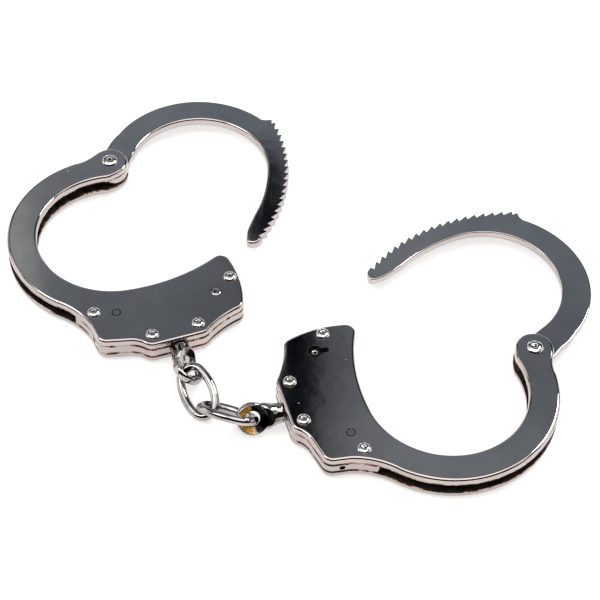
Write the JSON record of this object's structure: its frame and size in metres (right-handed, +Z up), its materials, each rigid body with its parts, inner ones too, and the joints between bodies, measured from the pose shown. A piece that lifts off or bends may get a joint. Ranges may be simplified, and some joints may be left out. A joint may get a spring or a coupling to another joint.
{
  "type": "chain-linked handcuffs",
  "caption": "Chain-linked ratchet handcuffs lying open: swinging toothed strands, double-plate bows and lock cases, swivel eyes and oval links, polished nickel-plated steel.",
  "frame": {"origin": "centre of the pair's footprint on the surface they lie on, under the rivet heads", "axes": "+Z up from the surface, the plates lie flat; +X from the left cuff towards the right cuff; -Y towards the side the chain is on"},
  "size_m": [0.1848, 0.1548, 0.01],
  "materials": {
    "nickel_plate": "polished nickel plate, mirror bright with fine wiping scratches",
    "chain_nickel": "bright nickel plate on round wire, lightly worn where links rub",
    "rivet_nickel": "bright nickel-plated domed rivet heads with a struck dimple",
    "inner_steel": "plain ground steel, thinly oiled",
    "spring_steel": "dark tempered spring strip"
  },
  "bodies": {
    "left_frame": {"left_front_cheek": "nickel_plate", "left_back_cheek": "nickel_plate", "left_spacer": "nickel_plate", "left_pawl_spring": "spring_steel", "left_rivet_mouth": "rivet_nickel", "left_rivet_swivel_left": "rivet_nickel", "left_rivet_swivel_right": "rivet_nickel", "left_rivet_throat": "rivet_nickel", "left_pivot_rivet": "rivet_nickel", "left_pawl_pin": "inner_steel", "left_key_post": "rivet_nickel"},
    "left_strand": {"left_strand": "nickel_plate"},
    "left_pawl": {"left_pawl": "inner_steel"},
    "left_lock_bar": {"left_lock_bar": "inner_steel"},
    "left_swivel": {"left_swivel": "chain_nickel"},
    "link_a": {"link_a": "chain_nickel"},
    "link_b": {"link_b": "chain_nickel"},
    "right_swivel": {"right_swivel": "chain_nickel"},
    "right_frame": {"right_front_cheek": "nickel_plate", "right_back_cheek": "nickel_plate", "right_spacer": "nickel_plate", "right_pawl_spring": "spring_steel", "right_rivet_mouth": "rivet_nickel", "right_rivet_swivel_left": "rivet_nickel", "right_rivet_swivel_right": "rivet_nickel", "right_rivet_throat": "rivet_nickel", "right_pivot_rivet": "rivet_nickel", "right_pawl_pin": "inner_steel", "right_key_post": "rivet_nickel"},
    "right_strand": {"right_strand": "nickel_plate"},
    "right_pawl": {"right_pawl": "inner_steel"},
    "right_lock_bar": {"right_lock_bar": "inner_steel"}
  },
  "joints": [
    {"name": "left_strand_swing", "type": "hinge", "parent": "left_frame", "child": "left_strand", "pos_m": [-0.06351, 0.04355, 0.005], "axis": [0, 0, -1], "continuous": true},
    {"name": "left_pawl_bite", "type": "hinge", "parent": "left_frame", "child": "left_pawl", "pos_m": [-0.05444, -0.02118, 0.005], "axis": [0, 0, 1], "range_deg": [0, 5.5]},
    {"name": "left_double_lock", "type": "slide", "parent": "left_frame", "child": "left_lock_bar", "axis": [0.9994, 0.035, 0], "range_m": [0, 0.0036]},
    {"name": "left_swivel_spin", "type": "hinge", "parent": "left_frame", "child": "left_swivel", "pos_m": [-0.03596, -0.02661, 0.005], "axis": [0.3709, -0.9287, 0], "continuous": true},
    {"name": "link_a_swing", "type": "hinge", "parent": "left_swivel", "child": "link_a", "pos_m": [-0.02966, -0.0424, 0.005], "axis": [0.5206, 0.208, -0.8281], "range_deg": [-38, 70]},
    {"name": "link_b_swing", "type": "hinge", "parent": "link_a", "child": "link_b", "pos_m": [-0.02396, -0.05356, 0.00266], "axis": [0.8281, 0.3326, 0.4513], "range_deg": [-70, 6]},
    {"name": "right_swivel_swing", "type": "hinge", "parent": "link_b", "child": "right_swivel", "pos_m": [-0.01064, -0.05742, 0.00596], "axis": [0.3886, 0.6996, -0.5996], "range_deg": [-30, 30]},
    {"name": "right_swivel_spin", "type": "hinge", "parent": "right_swivel", "child": "right_frame", "pos_m": [0.0017, -0.05159, 0.005], "axis": [-0.9473, -0.3204, 0], "continuous": true},
    {"name": "right_strand_swing", "type": "hinge", "parent": "right_frame", "child": "right_strand", "pos_m": [0.07296, -0.02702, 0.005], "axis": [0, 0, 1], "continuous": true},
    {"name": "right_pawl_bite", "type": "hinge", "parent": "right_frame", "child": "right_pawl", "pos_m": [0.01782, -0.06213, 0.005], "axis": [0, 0, -1], "range_deg": [0, 5.5]},
    {"name": "right_double_lock", "type": "slide", "parent": "right_frame", "child": "right_lock_bar", "axis": [-0.6219, 0.7831, 0], "range_m": [0, 0.0036]}
  ]
}
